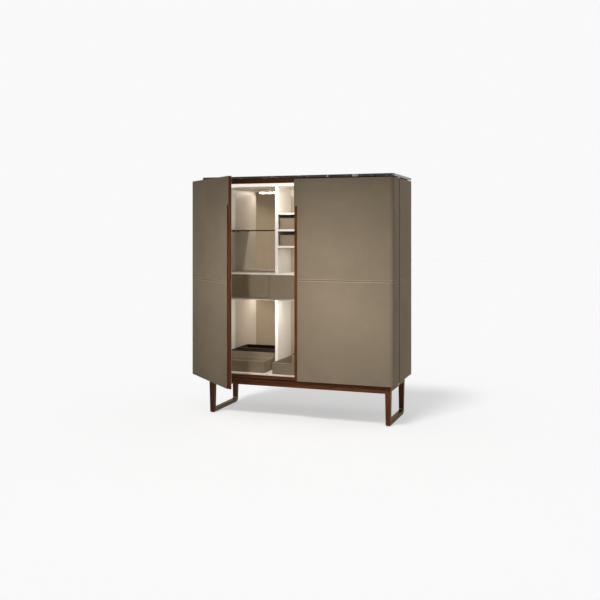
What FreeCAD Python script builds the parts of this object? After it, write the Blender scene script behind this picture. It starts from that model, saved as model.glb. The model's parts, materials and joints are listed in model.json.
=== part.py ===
"""Bar cabinet on a sled base: two wrap-round doors, mirrored bar interior and a fold-out shelf.

Millimetres. Origin on the floor under the middle of the cabinet, +X right, +Y to the back, +Z up.
The left door stands open at rest and the right door is closed.
"""

import os

import FreeCAD
import Part
from FreeCAD import Vector

# Overall sizes
cabinet_width = 1312.0
cabinet_depth = 542.0
underside_height = 256.0
corner_radius = 26.0
slab_thickness = 16.0
slab_gap = 6.0

# Doors: leather outside, walnut core, leather lining inside
door_height = 1300.0
door_thickness = 22.0
leather_thickness = 2.0
lining_thickness = 2.0
leather_seam = 1.0
door_return = 160.0
door_bottom_gap = 1.0
door_meeting_gap = 3.0
door_seam_gap = 3.0
door_inner_gap = 2.0
door_wall_gap = 8.0
left_door_open_angle = 43.2
pull_width = 22.0
pull_depth = 9.0
pull_drop = 175.0

# Door pivots
pivot_pin_radius = 4.0
pivot_pin_length = 20.0
pivot_clearance = 0.05
pivot_bush_radius = 7.0
pivot_bush_length = 22.0
pivot_plate_thickness = 4.0
pivot_plate_inner_reach = 60.0
pivot_plate_width = 44.0
pivot_plate_inset = 1.0
pivot_screw_radius = 2.5
pivot_screw_length = 16.0
pivot_screw_setback = 22.0
pivot_screw_spacing = 24.0
pivot_washer_radius = 8.0
magnet_radius = 5.0
magnet_length = 12.0
magnet_offset = 42.0
strike_radius = 7.0
strike_thickness = 2.0

# Carcass boards
wall_thickness = 36.0
shell_reach = 35.0
board_corner_radius = 15.0
bottom_board_thickness = 22.0
floor_panel_thickness = 9.0
top_board_thickness = 30.0
ceiling_thickness = 16.0
service_depth = 94.0
mirror_thickness = 4.0
back_board_thickness = 16.0
rear_panel_thickness = 20.0

# Bays
divider_offset = 179.0
divider_thickness = 20.0
divider_setback = 133.0
worktop_rise = 650.0
worktop_thickness = 14.0
band_height = 155.0
band_floor_thickness = 18.0
band_front_thickness = 18.0
band_front_gap = 2.0
band_reveal = 2.0
cubby_first_share = 0.32
cubby_pitch_share = 0.19
cubby_shelf_thickness = 13.0
glass_share = 0.49
glass_thickness = 8.0
glass_setback = 5.0
glass_side_gap = 2.0
shelf_pin_radius = 3.0
shelf_pin_length = 12.0
shelf_pin_inset = 40.0

# Fold-out shelf
stile_width = 60.0
flap_end_gap = 2.0
flap_notch_width = 40.0
flap_notch_inset = 60.0
knuckle_radius = 5.5
knuckle_clearance = 1.0
knuckle_tab_thickness = 6.0
flap_pin_radius = 2.5
flap_pin_reach = 22.0
flap_pin_clearance = 0.05

# Drawers behind the middle and right band fronts
drawer_wall = 12.0
drawer_floor = 8.0
drawer_runner_thickness = 12.0
drawer_runner_height = 20.0
drawer_runner_lift = 30.0
drawer_head_room = 20.0
drawer_lift = 8.0
drawer_back_gap = 20.0

# Leather boxes and trays
box_wall = 8.0
box_head_room = 23.0
box_side_gap = 12.0
box_setback = 10.0
box_back_gap = 10.0
tray_wall = 8.0
tray_height = 77.0
tray_wall_gap = 17.0
tray_divider_gap = 36.0
front_tray_setback = 26.0
front_tray_depth = 172.0
rear_tray_gap = 10.0
rear_tray_height = 109.0
tray_back_gap = 10.0
centre_tray_setback = 13.0
centre_tray_height = 75.0
centre_tray_side_gap = 6.0

# Interior lights
led_setback = 6.0
led_depth = 16.0
led_height = 20.0
led_diffuser_thickness = 5.0
low_led_setback = 28.0
low_led_height = 10.0
driver_width = 180.0
driver_depth = 40.0
driver_height = 50.0
driver_drop = 120.0

# Base
leg_inset = 33.0
leg_front_setback = 49.0
leg_top_width = 36.0
leg_bottom_width = 30.0
leg_outer_taper = 3.0
leg_top_depth = 44.0
leg_bottom_depth = 30.0
leg_front_taper = 8.0
leg_toe_radius = 8.0
rear_leg_setback = 71.0
rear_leg_taper = 12.0
glide_thickness = 3.0
glide_radius = 9.0
runner_height = 24.0
elbow_height = 36.0
elbow_radius = 34.0
elbow_inner_radius = 10.0
base_rail_height = 42.0
side_rail_height = 30.0
base_rail_thickness = 22.0
side_rail_inset = 2.0
front_rail_setback = 3.0
rear_rail_setback = 26.0
shadow_gap = 10.0
spacer_margin = 6.0

# Worked-out levels, from the floor up
glide_top = glide_thickness
elbow_top = glide_top + elbow_height
base_top = underside_height - shadow_gap
bottom_board_top = underside_height + bottom_board_thickness
floor_top = bottom_board_top + floor_panel_thickness
door_bottom = underside_height + door_bottom_gap
door_top = door_bottom + door_height
stitch_height = door_bottom + door_height / 2
slab_bottom = door_top + slab_gap
slab_top = slab_bottom + slab_thickness
top_board_bottom = slab_bottom - top_board_thickness
ceiling_bottom = top_board_bottom - ceiling_thickness
worktop_height = floor_top + worktop_rise
worktop_bottom = worktop_height - worktop_thickness
band_bottom = worktop_height - band_height
band_floor_top = band_bottom + band_floor_thickness
band_front_top = worktop_height - band_reveal
drawer_bottom = band_floor_top + drawer_lift
drawer_top = worktop_bottom - drawer_head_room
upper_room = ceiling_bottom - worktop_height
glass_bottom = worktop_height + upper_room * glass_share
cubby_first_top = worktop_height + upper_room * cubby_first_share
cubby_pitch = upper_room * cubby_pitch_share
box_height = cubby_pitch - cubby_shelf_thickness - box_head_room

# Worked-out places across and along the cabinet
side_x = cabinet_width / 2
front_y = -cabinet_depth / 2
rear_y = cabinet_depth / 2
door_inner_y = front_y + door_thickness
box_front_y = door_inner_y + door_inner_gap
wall_outer_x = side_x - door_thickness - door_wall_gap
wall_inner_x = wall_outer_x - wall_thickness
rear_panel_y = rear_y - rear_panel_thickness
back_board_rear_y = rear_panel_y - service_depth
back_board_y = back_board_rear_y - back_board_thickness
mirror_y = back_board_y - mirror_thickness
door_end_y = front_y + door_return
pivot_x = side_x - door_thickness / 2
pivot_y = door_end_y - door_thickness / 2
shell_front_y = door_end_y + door_seam_gap
band_inner_y = box_front_y + band_front_thickness + band_front_gap
divider_front_y = box_front_y + divider_setback
divider_inner_x = divider_offset - divider_thickness / 2
divider_outer_x = divider_offset + divider_thickness / 2
leg_outer_x = side_x - leg_inset
leg_front_y = front_y + leg_front_setback
rear_leg_top_back = rear_y - rear_leg_setback
foot_x1 = leg_outer_x - leg_outer_taper
foot_x0 = foot_x1 - leg_bottom_width
front_foot_y0 = leg_front_y + leg_front_taper
front_foot_y1 = front_foot_y0 + leg_bottom_depth
rear_foot_y1 = rear_leg_top_back - rear_leg_taper
rear_foot_y0 = rear_foot_y1 - leg_bottom_depth

UP = Vector(0, 0, 1)
ALONG_X = Vector(1, 0, 0)
ALONG_Y = Vector(0, 1, 0)


def block(x0, x1, y0, y1, z0, z1):
    """A box between two corners."""
    return Part.makeBox(x1 - x0, y1 - y0, z1 - z0, Vector(x0, y0, z0))


def mirrored(shape):
    """The same piece on the other side of the cabinet's middle."""
    return shape.mirror(Vector(0, 0, 0), ALONG_X)


def both_sides(shape):
    """A right-hand piece and its left-hand twin, as separate solids."""
    return Part.makeCompound([shape, mirrored(shape)])


def round_upright(shape, radius, x, y):
    """Round the upright edge that stands at x, y."""
    edges = [
        e
        for e in shape.Edges
        if all(abs(v.X - x) < 0.01 and abs(v.Y - y) < 0.01 for v in e.Vertexes)
    ]
    return shape.makeFillet(radius, edges)


def tapered_post(bottom, top, z0, z1):
    """A post between two rectangles, each given as x0, x1, y0, y1."""
    wires = []
    for (x0, x1, y0, y1), z in ((bottom, z0), (top, z1)):
        corners = [Vector(x0, y0, z), Vector(x1, y0, z), Vector(x1, y1, z), Vector(x0, y1, z)]
        wires.append(Part.makePolygon(corners + corners[:1]))
    return Part.makeLoft(wires, True, True)


def open_box(x0, x1, y0, y1, z0, z1, wall, floor):
    """A box with no lid."""
    outside = block(x0, x1, y0, y1, z0, z1)
    inside = block(x0 + wall, x1 - wall, y0 + wall, y1 - wall, z0 + floor, z1)
    return outside.cut(inside)


# Base


def round_across(shape, radius, y, z):
    """Round the edge that runs across the cabinet at y, z."""
    edges = [
        e
        for e in shape.Edges
        if all(abs(v.Y - y) < 0.01 and abs(v.Z - z) < 0.01 for v in e.Vertexes)
    ]
    return shape.makeFillet(radius, edges)


def front_leg():
    """Right front leg, tapered on all sides down to a rounded toe."""
    top = (leg_outer_x - leg_top_width, leg_outer_x, leg_front_y, leg_front_y + leg_top_depth)
    bottom = (foot_x0, foot_x1, front_foot_y0, front_foot_y1)
    leg = tapered_post(bottom, top, glide_top, base_top)
    return round_across(leg, leg_toe_radius, front_foot_y0, glide_top)


def rear_leg():
    """Right rear leg, which stands on the runner's turned-up end."""
    top = (leg_outer_x - leg_top_width, leg_outer_x, rear_leg_top_back - leg_top_depth, rear_leg_top_back)
    bottom = (foot_x0, foot_x1, rear_foot_y0, rear_foot_y1)
    return tapered_post(bottom, top, elbow_top, base_top)


def runner():
    """Metal bar along the floor behind the right front leg, turned up at the back to carry the rear leg."""
    y0 = (front_foot_y0 + front_foot_y1) / 2
    runner_top = glide_top + runner_height
    bar = block(foot_x0, foot_x1, y0, rear_foot_y1, glide_top, elbow_top)
    bar = round_across(bar, elbow_radius, rear_foot_y1, glide_top)
    above = block(foot_x0, foot_x1, y0, rear_foot_y0, runner_top, elbow_top + elbow_radius)
    above = round_across(above, elbow_inner_radius, rear_foot_y0, runner_top)
    return bar.cut(above).cut(front_leg())


def side_base_rail():
    """Metal bar along the top of the right-hand loop."""
    bar = block(
        leg_outer_x - leg_top_width + side_rail_inset,
        leg_outer_x,
        leg_front_y + leg_top_depth / 2,
        rear_leg_top_back - leg_top_depth / 2,
        base_top - side_rail_height,
        base_top,
    )
    return bar.cut(front_leg()).cut(rear_leg())


def cross_rail(y0, leg):
    """Walnut rail across the base, cut to the faces of a pair of legs."""
    reach = leg_outer_x - leg_bottom_width / 2
    bar = block(-reach, reach, y0, y0 + base_rail_thickness, base_top - base_rail_height, base_top)
    return bar.cut(leg).cut(mirrored(leg))


def front_rail_y():
    """Front face of the front rail, just behind the front of the legs."""
    return leg_front_y + front_rail_setback


def rear_rail_y():
    """Front face of the rear rail, inside the rear legs' depth."""
    return rear_leg_top_back - rear_rail_setback - base_rail_thickness / 2


def foot_glides():
    """Round pads under the front legs and under the flat of the runners at the back."""
    x = (foot_x0 + foot_x1) / 2
    pads = []
    for y in (
        (front_foot_y0 + leg_toe_radius + front_foot_y1) / 2,
        rear_foot_y1 - elbow_radius - 2 * glide_radius,
    ):
        pad = Part.makeCylinder(glide_radius, glide_thickness, Vector(x, y, 0))
        pads += [pad, mirrored(pad)]
    return Part.makeCompound(pads)


def base_spacers():
    """Blocks on the legs and strips on the cross rails that carry the carcass over a shadow gap."""
    x0 = leg_outer_x - leg_top_width + spacer_margin
    x1 = leg_outer_x - spacer_margin
    pads = []
    for y in (leg_front_y, rear_leg_top_back - leg_top_depth):
        pad = block(x0, x1, y + spacer_margin, y + leg_top_depth - spacer_margin, base_top, underside_height)
        pads += [pad, mirrored(pad)]
    reach = leg_outer_x - leg_top_width - spacer_margin
    for y in (front_rail_y(), rear_rail_y()):
        y1 = y + base_rail_thickness - spacer_margin
        pads.append(block(-reach, reach, y + spacer_margin, y1, base_top, underside_height))
    return Part.makeCompound(pads)


# Carcass


def plain_board(z0, z1):
    """Full-size carcass board whose front corners clear the doors' rounded insides."""
    board = block(-wall_outer_x, wall_outer_x, box_front_y, rear_panel_y, z0, z1)
    for x in (-wall_outer_x, wall_outer_x):
        board = round_upright(board, board_corner_radius, x, box_front_y)
    return board


def top_board():
    """Top board, let in for the pivot plates and bored for the door magnets."""
    board = plain_board(top_board_bottom, slab_bottom)
    board = board.cut(both_sides(top_pivot_body())).cut(both_sides(pivot_screws_top()))
    return board.cut(both_sides(magnet()))


def bottom_board():
    """Bottom board, bored for the lower pivot plates' screws."""
    return plain_board(underside_height, bottom_board_top).cut(both_sides(pivot_screws_bottom()))


def inner_wall():
    """Right inner wall between the bottom and top boards."""
    wall = block(wall_inner_x, wall_outer_x, box_front_y, rear_panel_y, bottom_board_top, top_board_bottom)
    return round_upright(wall, board_corner_radius, wall_outer_x, box_front_y)


def shell_block(offset):
    """The right side of the case behind the door, this far inside its outer face."""
    inner_x = side_x - shell_reach
    wide = block(
        inner_x - shell_reach, side_x - offset, shell_front_y, rear_y - offset, door_bottom, door_top
    )
    wide = round_upright(wide, corner_radius - offset, side_x - offset, rear_y - offset)
    return wide.common(block(inner_x, side_x, shell_front_y, rear_y, door_bottom, door_top))


def side_shell():
    """Core of the right side, with its rounded rear corner."""
    inner_x = side_x - shell_reach
    hollow = block(inner_x, wall_outer_x, shell_front_y, rear_panel_y, door_bottom, door_top)
    return shell_block(leather_thickness).cut(hollow)


def split_at_stitching(skin):
    """The skin's lower and upper hides, which meet at the stitched seam."""
    span = 2 * cabinet_width
    half_seam = leather_seam / 2
    above = block(-span, span, -span, span, stitch_height + half_seam, slab_top)
    below = block(-span, span, -span, span, 0, stitch_height - half_seam)
    return Part.makeCompound([skin.common(below), skin.common(above)])


def side_leather():
    """Leather over the right side, in two hides."""
    return split_at_stitching(shell_block(0).cut(shell_block(leather_thickness)))


def rear_panel():
    """Back of the case between the two rounded corners."""
    reach = side_x - shell_reach
    return block(-reach, reach, rear_panel_y, rear_y, door_bottom, door_top)


def back_board():
    """Board behind the mirrors."""
    return block(-wall_inner_x, wall_inner_x, back_board_y, back_board_rear_y, floor_top, ceiling_bottom)


def mirrors():
    """Mirror sheets above the worktop and below the band."""
    upper = block(-wall_inner_x, wall_inner_x, mirror_y, back_board_y, worktop_height, ceiling_bottom)
    lower = block(-wall_inner_x, wall_inner_x, mirror_y, back_board_y, floor_top, band_bottom)
    return Part.makeCompound([lower, upper])


def floor_panel():
    """Pale floor of the lower bays."""
    return block(-wall_inner_x, wall_inner_x, box_front_y, back_board_rear_y, bottom_board_top, floor_top)


def ceiling_panel():
    """Pale ceiling behind the light."""
    y0 = box_front_y + led_setback + led_diffuser_thickness + led_depth
    return block(-wall_inner_x, wall_inner_x, y0, back_board_rear_y, ceiling_bottom, top_board_bottom)


def slab():
    """Stone top with rounded corners."""
    top = block(-side_x, side_x, front_y, rear_y, slab_bottom, slab_top)
    for x in (-side_x, side_x):
        for y in (front_y, rear_y):
            top = round_upright(top, corner_radius, x, y)
    return top


def dividers(z0, z1):
    """Pair of upright dividers between two levels."""
    return both_sides(block(divider_inner_x, divider_outer_x, divider_front_y, mirror_y, z0, z1))


def cubby_shelves():
    """Shelves across the middle bay."""
    shelves = []
    for row in range(3):
        top = cubby_first_top + row * cubby_pitch
        shelves.append(
            block(
                -divider_inner_x,
                divider_inner_x,
                divider_front_y,
                mirror_y,
                top - cubby_shelf_thickness,
                top,
            )
        )
    return Part.makeCompound(shelves)


def glass_shelf():
    """Right smoked glass shelf."""
    return block(
        divider_outer_x + glass_side_gap,
        wall_inner_x - glass_side_gap,
        divider_front_y + glass_setback,
        mirror_y - glass_setback,
        glass_bottom,
        glass_bottom + glass_thickness,
    )


def shelf_pins():
    """Pegs that carry the two glass shelves."""
    pins = []
    z = glass_bottom - shelf_pin_radius
    for y in (divider_front_y + shelf_pin_inset, mirror_y - shelf_pin_inset):
        for x, way in ((divider_outer_x, ALONG_X), (wall_inner_x, -ALONG_X)):
            pin = Part.makeCylinder(shelf_pin_radius, shelf_pin_length, Vector(x, y, z), way)
            pins += [pin, mirrored(pin)]
    return Part.makeCompound(pins)


def worktop():
    """Pale board on top of the band."""
    return block(-wall_inner_x, wall_inner_x, band_inner_y, back_board_y, worktop_bottom, worktop_height)


def band_floor():
    """Board under the band, which the open flap comes level with."""
    return block(-wall_inner_x, wall_inner_x, band_inner_y, back_board_y, band_bottom, band_floor_top)


def band_dividers():
    """Uprights between the band's three compartments."""
    return both_sides(
        block(divider_inner_x, divider_outer_x, band_inner_y, back_board_y, band_floor_top, worktop_bottom)
    )


def band_front(x0, x1):
    """A leather-covered front of the band."""
    return block(x0, x1, box_front_y, box_front_y + band_front_thickness, band_bottom, band_front_top)


def band_stile():
    """Fixed front beside the flap, with a foot that reaches back to the band's boards."""
    front = band_front(-wall_inner_x, -wall_inner_x + stile_width)
    foot = block(
        -wall_inner_x,
        -wall_inner_x + stile_width,
        box_front_y + band_front_thickness,
        band_inner_y,
        band_bottom,
        band_front_top,
    )
    return front.fuse(foot).removeSplitter()


# Fold-out shelf

flap_x0 = -wall_inner_x + stile_width + flap_end_gap
flap_x1 = -divider_offset - flap_end_gap / 2
flap_axis_y = box_front_y + band_front_thickness / 2
flap_axis_z = band_bottom + band_front_thickness / 2


def flap_round(radius, x0, x1):
    """A cylinder about the flap's hinge axis."""
    return Part.makeCylinder(radius, x1 - x0, Vector(x0, flap_axis_y, flap_axis_z), ALONG_X)


def knuckle_spans():
    """Where the two hinge notches lie along the flap."""
    first = flap_x0 + flap_notch_inset
    last = flap_x1 - flap_notch_inset - flap_notch_width
    return [(x, x + flap_notch_width) for x in (first, last)]


def flap_notch(x0, x1):
    """Room for a knuckle, open behind and below, where its tab passes as the flap turns."""
    room = knuckle_tab_thickness / 2 + knuckle_clearance
    reach = band_front_thickness
    quarter = block(x0, x1, flap_axis_y - room, flap_axis_y + reach, flap_axis_z - reach, flap_axis_z + room)
    return flap_round(knuckle_radius + knuckle_clearance, x0, x1).fuse(quarter)


def flap_blank():
    """The flap with its rounded lower edge, its hinge notches and its pin holes."""
    panel = block(
        flap_x0, flap_x1, box_front_y, box_front_y + band_front_thickness, flap_axis_z, band_front_top
    )
    panel = panel.fuse(flap_round(band_front_thickness / 2, flap_x0, flap_x1)).removeSplitter()
    for x0, x1 in knuckle_spans():
        panel = panel.cut(flap_notch(x0, x1))
        panel = panel.cut(flap_round(flap_pin_radius, x0 - flap_pin_reach, x1 + flap_pin_reach))
    return panel


def flap_skin_block():
    """The front layer of the flap above its rounded edge."""
    return block(
        flap_x0, flap_x1, box_front_y, box_front_y + leather_thickness, flap_axis_z, band_front_top
    )


def fold_shelf_panel():
    """Walnut panel of the fold-out shelf."""
    return flap_blank().cut(flap_skin_block())


def fold_shelf_leather():
    """Leather on the front of the fold-out shelf."""
    return flap_skin_block()


def flap_pins():
    """Hinge pins, fast in the flap."""
    return Part.makeCompound(
        [flap_round(flap_pin_radius, x0 - flap_pin_reach, x1 + flap_pin_reach) for x0, x1 in knuckle_spans()]
    )


def flap_knuckles():
    """Hinge knuckles, fast on the band's floor."""
    knuckles = []
    for x0, x1 in knuckle_spans():
        a = x0 + knuckle_clearance
        b = x1 - knuckle_clearance
        half_tab = knuckle_tab_thickness / 2
        tab = block(a, b, flap_axis_y, band_inner_y, flap_axis_z - half_tab, flap_axis_z + half_tab)
        knuckle = flap_round(knuckle_radius, a, b).fuse(tab).removeSplitter()
        knuckles.append(knuckle.cut(flap_round(flap_pin_radius + flap_pin_clearance, a, b)))
    return Part.makeCompound(knuckles)


# Drawers

middle_bay = (-divider_inner_x, divider_inner_x)
right_bay = (divider_outer_x, wall_inner_x)


def drawer_box(x0, x1):
    """Drawer box behind its front, open at the top."""
    return open_box(
        x0 + drawer_runner_thickness,
        x1 - drawer_runner_thickness,
        box_front_y + band_front_thickness,
        mirror_y - drawer_back_gap,
        drawer_bottom,
        drawer_top,
        drawer_wall,
        drawer_floor,
    )


def drawer_runners():
    """A pair of runners for each drawer."""
    z0 = band_floor_top + drawer_runner_lift
    runners = []
    for x0, x1 in (middle_bay, right_bay):
        for x in (x0, x1 - drawer_runner_thickness):
            runners.append(
                block(
                    x,
                    x + drawer_runner_thickness,
                    band_inner_y,
                    mirror_y - drawer_back_gap,
                    z0,
                    z0 + drawer_runner_height,
                )
            )
    return Part.makeCompound(runners)


# Boxes and trays


def cubby_box(row):
    """Open leather box on one of the middle bay's shelves."""
    z0 = cubby_first_top + row * cubby_pitch
    reach = divider_inner_x - box_side_gap
    y0 = divider_front_y + box_setback
    return open_box(-reach, reach, y0, mirror_y - box_back_gap, z0, z0 + box_height, box_wall, box_wall)


front_tray_y0 = box_front_y + front_tray_setback
front_tray_y1 = front_tray_y0 + front_tray_depth
rear_tray_y0 = front_tray_y1 + rear_tray_gap


def left_tray(y0, y1, height):
    """Open leather tray on the floor of the left bay."""
    x0 = -wall_inner_x + tray_wall_gap
    x1 = -divider_outer_x - tray_divider_gap
    return open_box(x0, x1, y0, y1, floor_top, floor_top + height, tray_wall, tray_wall)


def centre_tray():
    """Open leather tray on the floor of the middle bay."""
    reach = divider_inner_x - centre_tray_side_gap
    return open_box(
        -reach,
        reach,
        box_front_y + centre_tray_setback,
        mirror_y - tray_back_gap,
        floor_top,
        floor_top + centre_tray_height,
        tray_wall,
        tray_wall,
    )


# Lights

led_y0 = box_front_y + led_setback
low_led_y0 = box_front_y + low_led_setback


def led_profiles():
    """Metal channels of the two light strips."""
    upper = block(
        -wall_inner_x,
        wall_inner_x,
        led_y0 + led_diffuser_thickness,
        led_y0 + led_diffuser_thickness + led_depth,
        top_board_bottom - led_height,
        top_board_bottom,
    )
    z0 = band_bottom - low_led_height
    lower = block(-wall_inner_x, wall_inner_x, low_led_y0, low_led_y0 + led_depth, z0, band_bottom)
    return Part.makeCompound([upper, lower])


def led_diffusers():
    """White covers of the two light strips: upper one in front, lower one below its channel."""
    upper = block(
        -wall_inner_x,
        wall_inner_x,
        led_y0,
        led_y0 + led_diffuser_thickness,
        top_board_bottom - led_height,
        top_board_bottom,
    )
    z1 = band_bottom - low_led_height
    lower = block(
        -wall_inner_x, wall_inner_x, low_led_y0, low_led_y0 + led_depth, z1 - led_diffuser_thickness, z1
    )
    return Part.makeCompound([upper, lower])


def led_driver():
    """Driver for the light strips, behind the back board."""
    z1 = ceiling_bottom - driver_drop
    half = driver_width / 2
    return block(-half, half, back_board_rear_y, back_board_rear_y + driver_depth, z1 - driver_height, z1)


# Door pivots


def pivot_plate(z0):
    """Right pivot plate, which reaches from the carcass out over the door's end."""
    return block(
        wall_outer_x - pivot_plate_inner_reach,
        side_x - pivot_plate_inset,
        pivot_y - pivot_plate_width / 2,
        pivot_y + pivot_plate_width / 2,
        z0,
        z0 + pivot_plate_thickness,
    )


def top_pivot_body():
    """Upper right pivot plate without its pin."""
    return pivot_plate(slab_bottom - pivot_plate_thickness)


def pivot_screw(y, z, way):
    """A pivot plate's screw, from the plate's outer face into the board."""
    x = wall_outer_x - pivot_plate_inner_reach + pivot_screw_setback
    return Part.makeCylinder(pivot_screw_radius, pivot_screw_length, Vector(x, y, z), way)


def pivot_screw_rows():
    """Where the two screws of a plate lie along the cabinet's depth."""
    return (pivot_y - pivot_screw_spacing / 2, pivot_y + pivot_screw_spacing / 2)


def pivot_screws_top():
    """Screws of the upper right plate."""
    return Part.makeCompound([pivot_screw(y, slab_bottom, -UP) for y in pivot_screw_rows()])


def pivot_screws_bottom():
    """Screws of the lower right plate."""
    z = underside_height - pivot_plate_thickness
    return Part.makeCompound([pivot_screw(y, z, UP) for y in pivot_screw_rows()])


def pivot_plates():
    """Upper and lower pivot plates with their pins, on both sides."""
    top = top_pivot_body().cut(pivot_screws_top())
    top_plate_face = slab_bottom - pivot_plate_thickness
    drop = top_plate_face - door_top + pivot_pin_length
    top_pin = Part.makeCylinder(pivot_pin_radius, drop, Vector(pivot_x, pivot_y, top_plate_face), -UP)
    bottom = pivot_plate(underside_height - pivot_plate_thickness).cut(pivot_screws_bottom())
    rise = door_bottom_gap + pivot_pin_length
    bottom_pin = Part.makeCylinder(pivot_pin_radius, rise, Vector(pivot_x, pivot_y, underside_height), UP)
    top = top.fuse(top_pin).removeSplitter()
    bottom = bottom.fuse(bottom_pin).removeSplitter()
    return Part.makeCompound([top, bottom, mirrored(top), mirrored(bottom)])


def pivot_screws():
    """All eight screws of the pivot plates."""
    right = pivot_screws_top().Solids + pivot_screws_bottom().Solids
    return Part.makeCompound(right + [mirrored(s) for s in right])


def pivot_washers():
    """Washers on the lower plates that the doors turn on."""
    centre = Vector(pivot_x, pivot_y, underside_height)
    washer = Part.makeCylinder(pivot_washer_radius, door_bottom_gap, centre)
    hole = Part.makeCylinder(pivot_pin_radius, door_bottom_gap, centre)
    return both_sides(washer.cut(hole))


def magnet():
    """Door magnet in the front edge of the top board, right side."""
    z = (top_board_bottom + slab_bottom) / 2
    return Part.makeCylinder(magnet_radius, magnet_length, Vector(magnet_offset, box_front_y, z), ALONG_Y)


# Doors, modelled closed on the right-hand side

door_free_x = door_meeting_gap / 2


def door_block(offset):
    """What the right door's outer face encloses, this far inside it."""
    shape = block(door_free_x, side_x - offset, front_y + offset, pivot_y, door_bottom, door_top)
    return round_upright(shape, corner_radius - offset, side_x - offset, front_y + offset)


def finger_pull():
    """Rebate down the free edge of the door, below its plain upper end."""
    x1 = door_free_x + pull_width
    return block(door_free_x, x1, front_y, front_y + pull_depth, door_bottom, door_top - pull_drop)


def pivot_bore(radius):
    """Holes for the upper and lower pivots in the end of the door."""
    top = Part.makeCylinder(radius, pivot_bush_length, Vector(pivot_x, pivot_y, door_top), -UP)
    bottom = Part.makeCylinder(radius, pivot_bush_length, Vector(pivot_x, pivot_y, door_bottom), UP)
    return Part.makeCompound([top, bottom])


def strike():
    """Steel disc behind the door's lining, opposite its magnet and clear of the door's top edge."""
    magnet_z = (top_board_bottom + slab_bottom) / 2
    z = min(magnet_z, door_top - strike_radius - strike_thickness)
    y = door_inner_y - lining_thickness
    return Part.makeCylinder(strike_radius, strike_thickness, Vector(magnet_offset, y, z), -ALONG_Y)


def door_core():
    """Walnut core with a half-round end about the pivot."""
    layer = door_block(leather_thickness).cut(door_block(door_thickness - lining_thickness))
    end = Part.makeCylinder(door_thickness / 2, door_height, Vector(pivot_x, pivot_y, door_bottom))
    behind = block(
        side_x - door_thickness, side_x, pivot_y, pivot_y + door_thickness, door_bottom, door_top
    )
    core = layer.fuse(end.common(behind)).removeSplitter()
    return core.cut(finger_pull()).cut(pivot_bore(pivot_bush_radius)).cut(strike())


def door_leather():
    """Leather over the outside of the door, in two hides."""
    skin = door_block(0).cut(door_block(leather_thickness))
    return split_at_stitching(skin.cut(finger_pull()))


def door_lining():
    """Leather lining inside the door."""
    return door_block(door_thickness - lining_thickness).cut(door_block(door_thickness))


def door_hardware():
    """Brass pivot bushes and the magnet's strike."""
    bushes = pivot_bore(pivot_bush_radius).cut(pivot_bore(pivot_pin_radius + pivot_clearance))
    return Part.makeCompound(bushes.Solids + [strike()])


def left_door(shape):
    """A right door's piece as the left door's, swung open about its pivot."""
    return mirrored(shape).rotate(Vector(-pivot_x, pivot_y, 0), UP, -left_door_open_angle)


def separate(shape):
    """The shape's solids as one plain compound."""
    return Part.makeCompound(shape.Solids)


def all_pieces():
    """Every piece under its name."""
    half_gap = flap_end_gap / 2
    pieces = {
        "front_legs": both_sides(front_leg()),
        "rear_legs": both_sides(rear_leg()),
        "base_runners": both_sides(runner()),
        "side_base_rails": both_sides(side_base_rail()),
        "front_base_rail": cross_rail(front_rail_y(), front_leg()),
        "rear_base_rail": cross_rail(rear_rail_y(), rear_leg()),
        "foot_glides": foot_glides(),
        "base_spacers": base_spacers(),
        "bottom_board": bottom_board(),
        "top_board": top_board(),
        "left_wall": mirrored(inner_wall()),
        "right_wall": inner_wall(),
        "left_side_shell": mirrored(side_shell()),
        "right_side_shell": side_shell(),
        "left_side_leather": mirrored(side_leather()),
        "right_side_leather": side_leather(),
        "rear_panel": rear_panel(),
        "back_board": back_board(),
        "floor_panel": floor_panel(),
        "ceiling_panel": ceiling_panel(),
        "stone_top": slab(),
        "mirrors": mirrors(),
        "upper_dividers": dividers(worktop_height, ceiling_bottom),
        "lower_dividers": dividers(floor_top, band_bottom),
        "cubby_shelves": cubby_shelves(),
        "glass_shelves": both_sides(glass_shelf()),
        "shelf_pins": shelf_pins(),
        "worktop": worktop(),
        "band_floor": band_floor(),
        "band_dividers": band_dividers(),
        "band_stile": band_stile(),
        "fold_shelf_panel": fold_shelf_panel(),
        "fold_shelf_leather": fold_shelf_leather(),
        "fold_shelf_pins": flap_pins(),
        "fold_shelf_knuckles": flap_knuckles(),
        "centre_drawer_front": band_front(-divider_offset + half_gap, divider_offset - half_gap),
        "centre_drawer_box": drawer_box(*middle_bay),
        "right_drawer_front": band_front(divider_offset + half_gap, wall_inner_x - flap_end_gap),
        "right_drawer_box": drawer_box(*right_bay),
        "drawer_runners": drawer_runners(),
        "lower_cubby_box": cubby_box(0),
        "upper_cubby_box": cubby_box(1),
        "left_front_tray": left_tray(front_tray_y0, front_tray_y1, tray_height),
        "left_rear_tray": left_tray(rear_tray_y0, mirror_y - tray_back_gap, rear_tray_height),
        "centre_tray": centre_tray(),
        "led_profiles": led_profiles(),
        "led_diffusers": led_diffusers(),
        "led_driver": led_driver(),
        "pivot_plates": pivot_plates(),
        "pivot_screws": pivot_screws(),
        "pivot_washers": pivot_washers(),
        "door_magnets": both_sides(magnet()),
    }
    door = {
        "door_core": door_core(),
        "door_leather": door_leather(),
        "door_lining": door_lining(),
        "door_hardware": door_hardware(),
    }
    for name, shape in door.items():
        pieces["left_" + name] = left_door(shape)
        pieces["right_" + name] = shape
    return pieces


os.makedirs("parts", exist_ok=True)
for name, shape in all_pieces().items():
    solids = separate(shape)
    whole = solids.Solids[0] if len(solids.Solids) == 1 else solids
    whole.exportStep("parts/" + name + ".step")
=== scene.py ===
"""Looks of the bar cabinet: leather, walnut, stone, lacquer, mirrors and light over its solids.

Metres, in the frame of the solids: origin on the floor under the middle, +X right, +Y back, +Z up.
"""

import json
import math

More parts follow.
